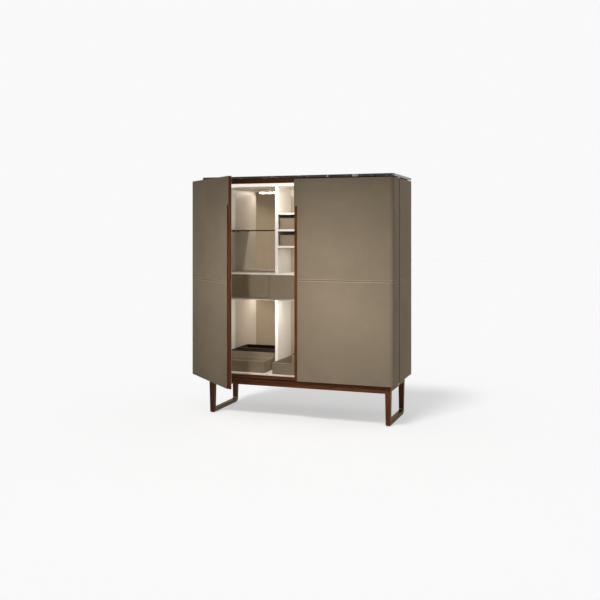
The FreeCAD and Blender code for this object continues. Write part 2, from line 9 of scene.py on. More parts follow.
import bpy
from bpy.props import FloatProperty, FloatVectorProperty, PointerProperty
from bpy.types import Operator, Panel, PropertyGroup
from mathutils import Matrix, Vector

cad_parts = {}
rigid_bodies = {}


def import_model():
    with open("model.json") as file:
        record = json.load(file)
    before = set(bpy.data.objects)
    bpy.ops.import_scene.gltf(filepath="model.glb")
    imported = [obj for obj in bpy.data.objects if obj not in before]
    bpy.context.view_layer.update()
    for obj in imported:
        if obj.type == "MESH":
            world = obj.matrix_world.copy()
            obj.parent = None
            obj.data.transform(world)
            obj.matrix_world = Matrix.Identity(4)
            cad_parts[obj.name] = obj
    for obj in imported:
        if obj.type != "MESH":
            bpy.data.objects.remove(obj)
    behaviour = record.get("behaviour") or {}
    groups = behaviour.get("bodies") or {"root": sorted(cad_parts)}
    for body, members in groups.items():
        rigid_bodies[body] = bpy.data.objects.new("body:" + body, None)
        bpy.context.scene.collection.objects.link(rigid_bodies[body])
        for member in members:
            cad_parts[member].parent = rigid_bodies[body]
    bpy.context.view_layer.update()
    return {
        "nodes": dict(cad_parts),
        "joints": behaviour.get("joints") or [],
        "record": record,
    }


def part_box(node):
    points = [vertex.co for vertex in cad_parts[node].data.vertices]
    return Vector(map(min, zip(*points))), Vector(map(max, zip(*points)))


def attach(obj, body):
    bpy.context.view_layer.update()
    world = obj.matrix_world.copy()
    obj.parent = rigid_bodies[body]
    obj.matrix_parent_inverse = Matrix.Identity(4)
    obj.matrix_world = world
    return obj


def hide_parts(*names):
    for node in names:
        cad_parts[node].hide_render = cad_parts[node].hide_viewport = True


bl_info = {
    "name": "Bar Cabinet Finishes",
    "version": (1, 0, 0),
    "blender": (4, 5, 0),
    "location": "View3D > Sidebar > Cabinet",
    "description": "Dresses the solids of a bar cabinet in leather, walnut, stone, lacquer and light",
    "category": "Object",
}

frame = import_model()
nodes = frame["nodes"]
bodies = frame["record"]["behaviour"]["bodies"]
body_of_node = {node: body for body, names in bodies.items() for node in names}
joints = {joint["name"]: joint for joint in frame["joints"]}

SUEDE_LINED = ("upper_cubby_box", "lower_cubby_box", "left_rear_tray")
LEATHER_LINED = ("left_front_tray", "centre_tray")

WHITE, BLACK = (1.0, 1.0, 1.0), (0.0, 0.0, 0.0)
# Axes that a grain runs along
ACROSS, DEEP, UPRIGHT = 0, 1, 2
# Where the middle of a noise starts and ends
NOISE_START, NOISE_END = 0.3, 0.7

# Sockets of the node that mixes two colours
MIX_FACTOR, MIX_FIRST, MIX_SECOND, MIX_RESULT = 0, 6, 7, 2

# Corners closer than this are one, and faces flatter than this are one
MERGE_DISTANCE = 0.00001
FLAT_ANGLE = math.radians(0.5)
# Edges sharper than the first angle are rounded, and those softer than the second are shaded smooth
EDGE_ANGLE = math.radians(40.0)
SMOOTH_ANGLE = math.radians(35.0)
QUARTER_TURN = math.radians(90.0)
# Handles that make a quarter of a circle, in radii
ARC_HANDLE = 0.5523
# A face looks along an axis when its normal has more than this of it
FACING = 0.5
# Places of the screws along each edge of the back, from end to end
SCREW_STEPS = (0.0, 0.25, 0.5, 0.75, 1.0)
# A face is inside a tray when it lies further in than this share of the wall
WALL_SHARE = 0.8

# Studio lamps: the spot, what it faces, its width in metres and its spread in degrees
STUDIO_LAMPS = {
    "key": ((0.07, -2.95, 2.0), (0.36, -0.27, 0.7), 0.15, 42.0),
    "left": ((-1.9, -2.9, 1.5), (-0.5, -0.45, 0.95), 0.5, 45.0),
    "side": ((3.8, 2.6, 1.3), (0.6, 0.0, 0.8), 1.5, 180.0),
    "back": ((-2.2, 3.6, 1.8), (0.0, 0.27, 0.9), 1.5, 180.0),
}
# Lamp on the left door's lining: the spot, what it faces and its width
LINING_LAMP = ((-0.3, 0.1, 0.9), (-0.5, -0.45, 0.9), 0.5)
# Distant lamps on the floor: turn, rise and width in degrees
FLOOR_LAMPS = {"floor_light": (-16.0, 60.0, 14.0), "floor_sky": (0.0, 80.0, 130.0)}
# Strips in the bays: length, width and how far down they aim, and each one's drop from its cover
STRIP_LENGTH, STRIP_WIDTH, STRIP_AIM = 1.1, 0.012, 0.4
UPPER_DROP, LOWER_DROP = 0.025, 0.003
# Lamp in the open cubby: width, how far down it aims and its drop from the shelf above
CUBBY_WIDTH, CUBBY_AIM, CUBBY_DROP = 0.2, 0.1, 0.003
SENSOR_WIDTH = 36.0


def display(red, green, blue):
    """A display colour, 0 to 255 a channel, as the linear colour that shaders use."""
    return tuple(((c / 255 + 0.055) / 1.055) ** 2.4 for c in (red, green, blue))


def length(name, default, description):
    """A size that the user may change."""
    return FloatProperty(
        name=name, description=description, default=default, min=0.0, unit="LENGTH"
    )


def watts(name, default, description):
    """The power of a lamp that the user may change."""
    return FloatProperty(
        name=name, description=description, default=default, min=0.0, unit="POWER"
    )


def brightness(name, default, description):
    """A brightness that the user may change."""
    return FloatProperty(name=name, description=description, default=default, min=0.0)


def colour(name, red, green, blue, description):
    """A colour that the user may change, given as a display colour."""
    return FloatVectorProperty(
        name=name,
        description=description,
        default=display(red, green, blue),
        min=0.0,
        max=1.0,
        subtype="COLOR",
    )


class CabinetSizes(PropertyGroup):
    """Edge roundings, stitching and screws."""

    corner_radius: length("Corner radius", 0.026, "Upright corners that the seams go round")
    pull_width: length("Finger pull", 0.022, "Width of the rebate down the free edge of a door")
    hide_edge: length("Hide edge", 0.0009, "Rounding of the cut edges of the leather")
    board_edge: length("Board edge", 0.0008, "Rounding of lacquered and veneered boards")
    leg_edge: length("Leg edge", 0.0035, "Rounding of the legs")
    metal_edge: length("Metal edge", 0.0015, "Rounding of the runners and rails")
    stone_edge: length("Stone edge", 0.002, "Rounding of the polished top")
    glass_edge: length("Glass edge", 0.0008, "Rounding of glass and mirrors")
    tray_edge: length("Tray edge", 0.002, "Rounding of the boxes and trays")
    tray_wall: length("Tray wall", 0.008, "Wall and floor of the boxes and trays")
    rim_drop: length("Rim stitching", 0.007, "Stitching below the rim of the boxes and trays")
    seam_spacing: length("Seam rows", 0.013, "Distance between the two rows along a seam")
    stitch_pitch: length("Stitch pitch", 0.008, "Distance from one stitch to the next")
    stitch_length: length("Stitch length", 0.006, "Length of one stitch")
    thread_radius: length("Thread radius", 0.0008, "Half the thickness of the thread")
    lining: length("Lining", 0.002, "Thickness of the leather inside the doors")
    lining_inset: length("Lining inset", 0.014, "Stitching in from the edge of the door linings")
    screw_radius: length("Screw radius", 0.0045, "Half the width of the screws in the back")
    screw_inset: length("Screw inset", 0.022, "Screws in from the edge of the back")


class CabinetColours(PropertyGroup):
    """Colours of the finishes."""

    taupe: colour("Taupe leather", 141, 127, 107, "Leather outside, on the band and on the trays")
    lining: colour("Lining leather", 184, 172, 154, "Leather inside the doors")
    suede: colour("Suede", 54, 43, 34, "Lining of the boxes and the rear tray")
    thread: colour("Thread", 196, 184, 162, "Stitching on the doors and sides")
    dark_thread: colour("Tray thread", 96, 84, 68, "Stitching on the boxes and trays")
    walnut_dark: colour("Walnut, dark", 36, 15, 7, "Dark grain of the walnut")
    walnut: colour("Walnut", 78, 40, 19, "Body of the walnut")
    walnut_light: colour("Walnut, light", 104, 60, 32, "Light grain of the walnut")
    stone_dark: colour("Stone, dark", 26, 19, 19, "Ground of the stone")
    stone: colour("Stone", 64, 48, 44, "Clouds in the stone")
    stone_vein: colour("Stone vein", 214, 202, 190, "Veins in the stone")
    champagne: colour("Champagne metal", 108, 97, 82, "Runners and rails of the base")
    cream: colour("Cream lacquer", 232, 226, 216, "Boards inside the cabinet")
    case_board: colour("Case board", 92, 80, 66, "Lacquered back and shells of the case")
    mirror: colour("Mirror", 214, 204, 190, "Bronze tint of the mirrors")
    glass: colour("Smoked glass", 122, 114, 106, "Tint of the glass shelves")
    steel: colour("Steel", 172, 172, 174, "Plates, pins and screws")
    brass: colour("Brass", 178, 142, 88, "Bushes, knuckles and shelf pegs")
    plastic: colour("Black plastic", 34, 33, 32, "Glides, spacers and washers")
    light: colour("Light", 255, 250, 243, "Colour of the light strips")


class CabinetStage(PropertyGroup):
    """Camera, floor and lamps."""

    camera_place: FloatVectorProperty(
        name="Camera",
        description="Where the camera stands",
        default=(1.8132, -5.2553, 1.2116),
        subtype="TRANSLATION",
    )
    camera_turn: FloatProperty(
        name="Camera turn",
        description="Turn to the left",
        default=math.radians(19.55),
        subtype="ANGLE",
    )
    camera_lens: FloatProperty(
        name="Lens", description="Focal length", default=49.55, min=1.0, unit="CAMERA"
    )
    camera_drop: FloatProperty(
        name="Shift", description="Upright shift of the lens", default=-0.1124
    )
    floor_size: length("Floor", 60.0, "Side of the floor")
    backdrop: brightness("Backdrop", 0.95, "Background, where 1 is white")
    floor_glow: brightness("Floor glow", 0.495, "Floor brightness that shadows leave")
    sky: brightness("Sky", 0.07, "Soft light from all round")
    key_power: watts("Key", 4.05, "Lamp on the right door")
    left_power: watts("Left", 2.0, "Lamp on the left door")
    side_power: watts("Side", 48.0, "Lamp behind on the right")
    back_power: watts("Back", 85.0, "Lamp behind on the left")
    lining_power: watts("Lining", 3.8, "Lamp on the lining of the left door")
    floor_light: brightness("Floor light", 1.35, "Distant lamp on the floor from the front")
    floor_sky: brightness("Floor sky", 0.66, "Distant lamp on the floor from all round")
    upper_bay_power: watts("Upper bays", 2.7, "Lamp along the upper strip")
    lower_bay_power: watts("Lower bays", 3.2, "Lamp along the lower strip")
    cubby_power: watts("Cubby", 0.22, "Lamp in the open cubby")
    strip_strength: brightness("Strips", 0.7, "Glow of the light covers")


def sizes():
    """The user's sizes."""
    return bpy.context.scene.cabinet_sizes


def colours():
    """The user's colours."""
    return bpy.context.scene.cabinet_colours


# Materials


def new_finish(name, **sockets):
    """A material with the values that are the same all over set on its shader."""
    if name in bpy.data.materials:
        raise ValueError(name + " is a material of the solids")
    finish = bpy.data.materials.new(name)
    finish.use_nodes = True
    shader = finish.node_tree.nodes["Principled BSDF"]
    for socket, value in sockets.items():
        shader.inputs[socket.replace("_", " ")].default_value = value
    return finish.node_tree, shader


def add_node(tree, kind, inputs, **settings):
    """A node with its settings and its links or values."""
    made = tree.nodes.new(kind)
    for key, value in settings.items():
        setattr(made, key, value)
    for key, value in inputs.items():
        if isinstance(value, bpy.types.NodeSocket):
            tree.links.new(value, made.inputs[key])
        else:
            made.inputs[key].default_value = value
    return made


def place(tree, stretch=(1.0, 1.0, 1.0)):
    """Object coordinates, multiplied along each axis."""
    where = tree.nodes.new("ShaderNodeTexCoord").outputs["Object"]
    values = {"Vector": where, "Scale": stretch}
    return add_node(tree, "ShaderNodeMapping", values).outputs["Vector"]


def drawn_out(tree, along, fine, coarse):
    """Object coordinates for a grain that is fine across one axis and coarse along it."""
    stretch = [fine, fine, fine]
    stretch[along] = coarse
    return place(tree, stretch)


def noise(tree, where, scale=1.0, detail=4.0, roughness=0.55, distortion=0.0):
    """Cloudy noise between 0 and 1."""
    values = {
        "Vector": where,
        "Scale": scale,
        "Detail": detail,
        "Roughness": roughness,
        "Distortion": distortion,
    }
    return add_node(tree, "ShaderNodeTexNoise", values).outputs["Fac"]


def cells(tree, where, scale):
    """Distance inside the cells of a pebbled pattern."""
    values = {"Vector": where, "Scale": scale}
    return add_node(tree, "ShaderNodeTexVoronoi", values).outputs["Distance"]


def ramp(tree, factor, *stops):
    """Colours along a factor, as pairs of place and colour."""
    made = add_node(tree, "ShaderNodeValToRGB", {"Fac": factor})
    points = made.color_ramp.elements
    while len(points) < len(stops):
        points.new(0.5)
    for point, (spot, tint) in zip(points, stops):
        point.position = spot
        point.color = (*tint, 1.0)
    return made.outputs["Color"]


def shade(tint, factor):
    """A colour made lighter or darker."""
    return tuple(min(1.0, c * factor) for c in tint)


def two_tones(tree, factor, tint, dark, light, start=NOISE_START, end=NOISE_END):
    """A colour that goes from darker to lighter over the middle of a noise."""
    return ramp(tree, factor, (start, shade(tint, dark)), (end, shade(tint, light)))


def blend_colours(tree, factor, first, second, kind="MIX"):
    """Two colours mixed by a factor. Each of the three is a link or a value."""
    made = tree.nodes.new("ShaderNodeMix")
    made.data_type = "RGBA"
    made.blend_type = kind
    for socket, value in ((MIX_FACTOR, factor), (MIX_FIRST, first), (MIX_SECOND, second)):
        if isinstance(value, bpy.types.NodeSocket):
            tree.links.new(value, made.inputs[socket])
        elif socket == MIX_FACTOR:
            made.inputs[socket].default_value = value
        else:
            made.inputs[socket].default_value = (*value, 1.0)
    return made.outputs[MIX_RESULT]


def cover(tree, shader, body, factor, smooth, rough):
    """Link a colour, and a roughness that the middle of a noise spreads between two values."""
    tree.links.new(body, shader.inputs["Base Color"])
    values = {
        "Value": factor,
        "From Min": NOISE_START,
        "From Max": NOISE_END,
        "To Min": smooth,
        "To Max": rough,
    }
    spread = add_node(tree, "ShaderNodeMapRange", values).outputs["Result"]
    tree.links.new(spread, shader.inputs["Roughness"])


def raise_surface(tree, shader, height, strength, depth):
    """Bump from a height."""
    values = {"Height": height, "Strength": strength, "Distance": depth}
    bump = add_node(tree, "ShaderNodeBump", values)
    tree.links.new(bump.outputs["Normal"], shader.inputs["Normal"])


def mix_leather(name, tint):
    """Fine pebbled leather with soft clouds of tone, and painted shade in the creases between the
    pebbles.
    """
    tree, shader = new_finish(name, Specular_IOR_Level=0.005)
    spot = place(tree)
    clouds = noise(tree, spot, scale=3.0, detail=8.0, roughness=0.7)
    tone = two_tones(tree, clouds, tint, dark=0.9, light=1.09)
    pebbles = cells(tree, spot, scale=560.0)
    # Painted shade: the colour darkens towards the edges of the pebbles, in the creases between them
    crease_shade = ramp(tree, pebbles, (0.0, WHITE), (0.75, (0.9, 0.89, 0.88)))
    body = blend_colours(tree, 1.0, tone, crease_shade, "MULTIPLY")
    polish = noise(tree, spot, scale=90.0, detail=3.0)
    cover(tree, shader, body, polish, smooth=0.4, rough=0.48)
    raise_surface(tree, shader, pebbles, strength=0.16, depth=0.0005)


def mix_suede(name, tint):
    """Napped lining."""
    tree, shader = new_finish(
        name, Specular_IOR_Level=0.06, Sheen_Weight=0.08, Sheen_Roughness=0.6
    )
    spot = place(tree)
    nap = noise(tree, spot, scale=26.0, detail=5.0, roughness=0.7)
    fibres = noise(tree, spot, scale=1300.0, detail=2.0)
    body = two_tones(tree, nap, tint, dark=0.78, light=1.2, start=0.35, end=0.65)
    cover(tree, shader, body, fibres, smooth=0.82, rough=0.95)
    raise_surface(tree, shader, fibres, strength=0.3, depth=0.0004)


def mix_thread(name, tint):
    """Twisted thread."""
    tree, shader = new_finish(name, Sheen_Weight=0.2, Sheen_Roughness=0.5)
    plies = noise(tree, place(tree), scale=900.0, detail=2.0, roughness=0.5, distortion=0.4)
    body = two_tones(tree, plies, tint, dark=0.82, light=1.08, start=0.35, end=0.65)
    cover(tree, shader, body, plies, smooth=0.55, rough=0.7)
    raise_surface(tree, shader, plies, strength=0.25, depth=0.0003)


def mix_walnut(name, along):
    """Oiled walnut with its grain along one axis."""
    tints = colours()
    dark, middle = tuple(tints.walnut_dark), tuple(tints.walnut)
    light = tuple(tints.walnut_light)
    tree, shader = new_finish(
        name, Specular_IOR_Level=0.22, Specular_Tint=(1.0, 0.8, 0.6, 1.0)
    )
    bands = drawn_out(tree, along, fine=15.0, coarse=1.1)
    figure = noise(tree, bands, detail=6.0, roughness=0.62, distortion=1.4)
    pores = noise(tree, drawn_out(tree, along, fine=210.0, coarse=7.0), detail=3.0, roughness=0.6)
    stops = ((0.28, dark), (0.43, middle), (0.56, light), (0.66, middle), (0.8, dark))
    streaks = ramp(tree, pores, (0.34, (0.55, 0.5, 0.46)), (0.5, WHITE))
    body = blend_colours(tree, 0.75, ramp(tree, figure, *stops), streaks, "MULTIPLY")
    cover(tree, shader, body, figure, smooth=0.42, rough=0.56)
    raise_surface(tree, shader, pores, strength=0.18, depth=0.0004)


def mix_stone(name):
    """Polished dark stone with pale veins and flecks."""
    tints = colours()
    dark, cloud, pale = tuple(tints.stone_dark), tuple(tints.stone), tuple(tints.stone_vein)
    tree, shader = new_finish(name, Specular_IOR_Level=0.4)
    spot = place(tree)
    drift = add_node(tree, "ShaderNodeTexNoise", {"Vector": spot, "Scale": 5.0, "Detail": 5.0})
    values = {"Vector": drift.outputs["Color"], "Scale": 0.22}
    push = add_node(tree, "ShaderNodeVectorMath", values, operation="SCALE")
    values = {0: spot, 1: push.outputs["Vector"]}
    bent = add_node(tree, "ShaderNodeVectorMath", values, operation="ADD").outputs["Vector"]
    clouds = noise(tree, bent, scale=9.0, detail=8.0, roughness=0.65)
    ground = ramp(tree, clouds, (0.32, dark), (0.55, cloud), (0.75, dark))
    broad = noise(tree, bent, scale=3.2, detail=4.0, roughness=0.5)
    veins = ramp(tree, broad, (0.47, BLACK), (0.5, WHITE), (0.512, BLACK))
    fine = noise(tree, bent, scale=9.0, detail=3.0, roughness=0.5)
    hairs = ramp(tree, fine, (0.485, BLACK), (0.5, shade(WHITE, 0.7)), (0.51, BLACK))
    breaks = noise(tree, spot, scale=6.0, detail=3.0)
    patches = ramp(tree, breaks, (0.36, BLACK), (0.54, WHITE))
    both = blend_colours(tree, 1.0, veins, hairs, "LIGHTEN")
    mask = blend_colours(tree, 1.0, both, patches, "MULTIPLY")
    body = blend_colours(tree, mask, ground, pale)
    cover(tree, shader, body, clouds, smooth=0.06, rough=0.16)


def mix_brushed(name, tint, along, smooth, rough, rim=WHITE):
    """Metal brushed along one axis, with the tint that it has at a low angle."""
    tree, shader = new_finish(name, Metallic=1.0, Specular_Tint=(*rim, 1.0))
    lines = drawn_out(tree, along, fine=420.0, coarse=5.0)
    strokes = noise(tree, lines, detail=3.0, roughness=0.6)
    body = two_tones(tree, strokes, tint, dark=0.86, light=1.08)
    cover(tree, shader, body, strokes, smooth, rough)
    raise_surface(tree, shader, strokes, strength=0.06, depth=0.0002)


def mix_lacquer(name, tint, smooth, rough):
    """Sprayed lacquer with a faint skin."""
    tree, shader = new_finish(name, Specular_IOR_Level=0.45)
    spot = place(tree)
    tone = noise(tree, spot, scale=5.0)
    skin = noise(tree, spot, scale=320.0, detail=2.0)
    body = two_tones(tree, tone, tint, dark=0.965, light=1.02)
    cover(tree, shader, body, skin, smooth, rough)
    raise_surface(tree, shader, skin, strength=0.05, depth=0.0002)


def mix_mirror(name, tint):
    """Bronze-tinted mirror, faintly clouded."""
    tree, shader = new_finish(name, Metallic=1.0)
    haze = noise(tree, place(tree), scale=7.0)
    body = two_tones(tree, haze, tint, dark=0.97, light=1.02)
    cover(tree, shader, body, haze, smooth=0.008, rough=0.014)


def mix_glass(name, tint):
    """Smoked glass."""
    tree, shader = new_finish(name, Transmission_Weight=1.0, IOR=1.5)
    haze = noise(tree, place(tree), scale=12.0, detail=3.0)
    body = two_tones(tree, haze, tint, dark=0.95, light=1.03)
    cover(tree, shader, body, haze, smooth=0.01, rough=0.04)


def mix_plastic(name, tint):
    """Moulded black plastic with a fine grain."""
    tree, shader = new_finish(name, Specular_IOR_Level=0.4)
    grain = noise(tree, place(tree), scale=900.0, detail=3.0)
    body = two_tones(tree, grain, tint, dark=0.85, light=1.2)
    cover(tree, shader, body, grain, smooth=0.5, rough=0.65)
    raise_surface(tree, shader, grain, strength=0.2, depth=0.0002)


def mix_light_cover(name, tint):
    """Opal cover with the light behind it."""
    glow = bpy.context.scene.cabinet_stage.strip_strength
    tree, shader = new_finish(name, Emission_Color=(*tint, 1.0), Emission_Strength=glow)
    skin = noise(tree, place(tree), scale=60.0, detail=3.0)
    body = two_tones(tree, skin, tint, dark=0.96, light=1.0)
    cover(tree, shader, body, skin, smooth=0.4, rough=0.5)


class CABINET_OT_mix_finishes(Operator):
    """Make the materials of the cabinet"""

    bl_idname = "cabinet.mix_finishes"
    bl_label = "Mix finishes"

    def execute(self, context):
        tints = colours()
        mix_leather("taupe_hide", tuple(tints.taupe))
        mix_leather("lining_hide", tuple(tints.lining))
        mix_suede("tray_suede", tuple(tints.suede))
        mix_thread("seam_thread", tuple(tints.thread))
        mix_thread("tray_thread", tuple(tints.dark_thread))
        mix_walnut("walnut_across", ACROSS)
        mix_walnut("walnut_upright", UPRIGHT)
        mix_stone("veined_stone")
        champagne, rim = tuple(tints.champagne), (0.5, 0.46, 0.4)
        mix_brushed("champagne_metal", champagne, DEEP, smooth=0.3, rough=0.42, rim=rim)
        mix_brushed("brushed_steel", tuple(tints.steel), ACROSS, smooth=0.24, rough=0.4)
        mix_brushed("brushed_brass", tuple(tints.brass), ACROSS, smooth=0.18, rough=0.3)
        mix_lacquer("cream_paint", tuple(tints.cream), smooth=0.36, rough=0.46)
        mix_lacquer("case_lacquer", tuple(tints.case_board), smooth=0.5, rough=0.62)
        mix_mirror("bronze_mirror", tuple(tints.mirror))
        mix_glass("smoked_pane", tuple(tints.glass))
        mix_plastic("moulded_plastic", tuple(tints.plastic))
        mix_light_cover("opal_cover", tuple(tints.light))
        return {"FINISHED"}


# Modelling


def only(piece):
    """Select one object alone."""
    bpy.ops.object.select_all(action="DESELECT")
    piece.select_set(True)
    bpy.context.view_layer.objects.active = piece


def put_in_scene(name, data):
    """A new object at the origin."""
    made = bpy.data.objects.new(name, data)
    bpy.context.scene.collection.objects.link(made)
    return made


def apply_modifier(piece, kind, **settings):
    """Add a modifier with its settings and apply it."""
    only(piece)
    bpy.ops.object.modifier_add(type=kind)
    modifier = piece.modifiers[-1]
    for key, value in settings.items():
        setattr(modifier, key, value)
    bpy.ops.object.modifier_apply(modifier=modifier.name)


def paint(piece, *finishes):
    """Give a piece its materials, the first one on every face."""
    piece.data.materials.clear()
    for finish in finishes:
        piece.data.materials.append(bpy.data.materials[finish])


def dress(node, finish, edge):
    """A copy of a solid with rounded edges and its finish, which stands for the solid."""
    piece = put_in_scene("dressed_" + node, nodes[node].data.copy())
    only(piece)
    bpy.ops.object.mode_set(mode="EDIT")
    bpy.ops.mesh.select_all(action="SELECT")
    bpy.ops.mesh.remove_doubles(threshold=MERGE_DISTANCE)
    bpy.ops.mesh.dissolve_limited(angle_limit=FLAT_ANGLE)
    bpy.ops.object.mode_set(mode="OBJECT")
    apply_modifier(
        piece, "BEVEL", width=edge, segments=3, limit_method="ANGLE", angle_limit=EDGE_ANGLE
    )
    bpy.ops.object.shade_smooth_by_angle(angle=SMOOTH_ANGLE)
    apply_modifier(piece, "WEIGHTED_NORMAL", weight=100, keep_sharp=True)
    paint(piece, finish)
    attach(piece, body_of_node[node])
    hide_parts(node)
    return piece


def repaint(node, finish):
    """A solid that keeps its shape and gets a finish."""
    paint(nodes[node], finish)


def join(pieces, name):
    """Several pieces as one."""
    only(pieces[0])
    for piece in pieces:
        piece.select_set(True)
    bpy.ops.object.join()
    whole = bpy.context.object
    whole.name = name
    whole.data.name = name
    return whole


def mirror_across(piece):
    """Turn a right-hand piece into its left-hand twin."""
    piece.data.transform(Matrix.Scale(-1.0, 4, (1.0, 0.0, 0.0)))
    piece.data.flip_normals()


def one_stitch(name):
    """A stitch along X that dips into the leather at both ends."""
    size = sizes()
    rounding, dip = size.thread_radius * 0.7, size.thread_radius * 0.9
    bpy.ops.object.select_all(action="DESELECT")
    bpy.ops.mesh.primitive_cylinder_add(
        vertices=8,
        radius=size.thread_radius,
        depth=size.stitch_length,
        rotation=(0.0, QUARTER_TURN, 0.0),
    )
    stitch = bpy.context.object
    stitch.name = name
    bpy.ops.object.transform_apply(location=True, rotation=True, scale=True)
    apply_modifier(stitch, "BEVEL", width=rounding, segments=2, limit_method="ANGLE")
    for vertex in stitch.data.vertices:
        reach = abs(vertex.co.x) / (size.stitch_length / 2)
        vertex.co.z -= dip * reach**2
    return stitch


def seam_path(points, name):
    """A path through points, each given with the handles on its two sides."""
    path = bpy.data.curves.new(name, "CURVE")
    path.dimensions = "3D"
    path.twist_mode = "Z_UP"
    path.resolution_u = 24
    spline = path.splines.new("BEZIER")
    spline.bezier_points.add(len(points) - 1)
    for knot, (before, spot, after) in zip(spline.bezier_points, points):
        knot.handle_left_type = knot.handle_right_type = "FREE"
        knot.co, knot.handle_left, knot.handle_right = spot, before, after
    return put_in_scene(name, path)


def straight(start, end):
    """The two ends of a straight run, with their handles on the run."""
    third = (end - start) / 3
    return [(start - third, start, start + third), (end - third, end, end + third)]


def round_the_corner(first, corner, last, radius):
    """A run to a corner, round it and on to the end."""
    inward, outward = (corner - first).normalized(), (last - corner).normalized()
    enter, leave = corner - inward * radius, corner + outward * radius
    bow = ARC_HANDLE * radius
    return [
        (first, first, first + (enter - first) / 3),
        (enter - (enter - first) / 3, enter, enter + inward * bow),
        (leave - outward * bow, leave, leave + (last - leave) / 3),
        (last - (last - leave) / 3, last, last),
    ]


def stitch_along(points, name, finish):
    """A row of stitches that follows a path."""
    pitch = sizes().stitch_pitch
    path = seam_path(points, name + "_path")
    row = one_stitch(name)
    for vertex in row.data.vertices:
        vertex.co.x += pitch / 2
    apply_modifier(
        row,
        "ARRAY",
        count=int(path.data.splines[0].calc_length() / pitch),
        use_relative_offset=False,
        use_constant_offset=True,
        constant_offset_displace=(pitch, 0.0, 0.0),
    )
    apply_modifier(row, "CURVE", object=path, deform_axis="POS_X")
    bpy.data.objects.remove(path)
    only(row)
    bpy.ops.object.shade_smooth()
    paint(row, finish)
    return row


def stitch_seam(first, corner, last, name):
    """Two rows of stitches along a hide's seam, round its corner."""
    size = sizes()
    rows = []
    for side in (-0.5, 0.5):
        rise = Vector((0.0, 0.0, side * size.seam_spacing))
        path = round_the_corner(first + rise, corner + rise, last + rise, size.corner_radius)
        rows.append(stitch_along(path, name, "seam_thread"))
    return join(rows, name)


def stitch_ring(corners, node, finish, gap=0.0):
    """Rows of stitches from corner to corner and back, each short of its corners by a gap."""
    rows = []
    for start, end in zip(corners, corners[1:] + corners[:1]):
        short = (end - start).normalized() * gap
        path = straight(start + short, end - short)
        rows.append(stitch_along(path, node + "_row", finish))
    return join(rows, node + "_stitches")


# Pieces


class CABINET_OT_dress_base(Operator):
    """Dress the legs, rails, runners and glides"""

    bl_idname = "cabinet.dress_base"
    bl_label = "Base"

    def execute(self, context):
        size = sizes()
        for node in ("front_legs", "rear_legs"):
            dress(node, "walnut_upright", size.leg_edge)
        for node in ("front_base_rail", "rear_base_rail"):
            dress(node, "walnut_across", size.board_edge)
        for node in ("base_runners", "side_base_rails"):
            dress(node, "champagne_metal", size.metal_edge)
        dress("foot_glides", "moulded_plastic", size.board_edge)
        repaint("base_spacers", "moulded_plastic")
        return {"FINISHED"}


def screw_head(spot):
    """A flat head that faces back, with a crossed slot."""
    radius = sizes().screw_radius
    height, rounding, slot_height = radius / 3, radius / 12, radius / 1.8
    slot_length, slot_width = 1.3, 0.24  # in radii
    bpy.ops.object.select_all(action="DESELECT")
    bpy.ops.mesh.primitive_cylinder_add(vertices=24, radius=radius, depth=height)
    head = bpy.context.object
    apply_modifier(head, "BEVEL", width=rounding, segments=2, limit_method="ANGLE")
    for across, along in ((slot_length, slot_width), (slot_width, slot_length)):
        bpy.ops.mesh.primitive_cube_add(size=radius, location=(0.0, 0.0, slot_height))
        slot = bpy.context.object
        slot.scale = (across, along, 1.0)
        bpy.ops.object.transform_apply(location=True, rotation=True, scale=True)
        apply_modifier(head, "BOOLEAN", operation="DIFFERENCE", object=slot)
        bpy.data.objects.remove(slot)
    head.data.transform(Matrix.Translation(spot) @ Matrix.Rotation(-QUARTER_TURN, 4, "X"))
    only(head)
    bpy.ops.object.shade_smooth_by_angle(angle=SMOOTH_ANGLE)
    paint(head, "brushed_steel")
    return head


def back_screws(node):
    """Flat screws round the edge of the back."""
    inset = sizes().screw_inset
    low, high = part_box(node)
    heads = []
    for across in SCREW_STEPS:
        for up in SCREW_STEPS:
            if {across, up} & {SCREW_STEPS[0], SCREW_STEPS[-1]}:
                x = low.x + inset + across * (high.x - low.x - 2 * inset)
                z = low.z + inset + up * (high.z - low.z - 2 * inset)
                heads.append(screw_head(Vector((x, high.y, z))))
    return join(heads, node + "_screws")


class CABINET_OT_dress_case(Operator):
    """Dress the boards, walls, back and pivots of the case"""

    bl_idname = "cabinet.dress_case"
    bl_label = "Case"

    def execute(self, context):
        size = sizes()
        for node in ("bottom_board", "top_board"):
            dress(node, "walnut_across", size.board_edge)
        for node in ("left_wall", "right_wall"):
            dress(node, "cream_paint", size.board_edge)
        for node in ("left_side_shell", "right_side_shell", "rear_panel"):
            dress(node, "case_lacquer", size.board_edge)
        repaint("back_board", "case_lacquer")
        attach(back_screws("rear_panel"), "cabinet")
        for node in ("pivot_plates", "pivot_screws"):
            repaint(node, "brushed_steel")
        for node in ("pivot_washers", "door_magnets", "led_driver"):
            repaint(node, "moulded_plastic")
        return {"FINISHED"}


class CABINET_OT_dress_top(Operator):
    """Dress the stone top"""

    bl_idname = "cabinet.dress_top"
    bl_label = "Stone top"

    def execute(self, context):
        dress("stone_top", "veined_stone", sizes().stone_edge)
        return {"FINISHED"}


class CABINET_OT_dress_sides(Operator):
    """Dress the sides in leather with a stitched seam"""

    bl_idname = "cabinet.dress_sides"
    bl_label = "Sides"

    def execute(self, context):
        size = sizes()
        for side in ("left", "right"):
            dress(side + "_side_leather", "taupe_hide", size.hide_edge)
        low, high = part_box("right_side_leather")
        seam = (low.z + high.z) / 2
        right = stitch_seam(
            Vector((high.x, low.y + size.stitch_pitch, seam)),
            Vector((high.x, high.y, seam)),
            Vector((low.x + size.stitch_pitch / 2, high.y, seam)),
            "right_side_stitches",
        )
        left = put_in_scene("left_side_stitches", right.data.copy())
        mirror_across(left)
        for piece in (left, right):
            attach(piece, "cabinet")
        return {"FINISHED"}


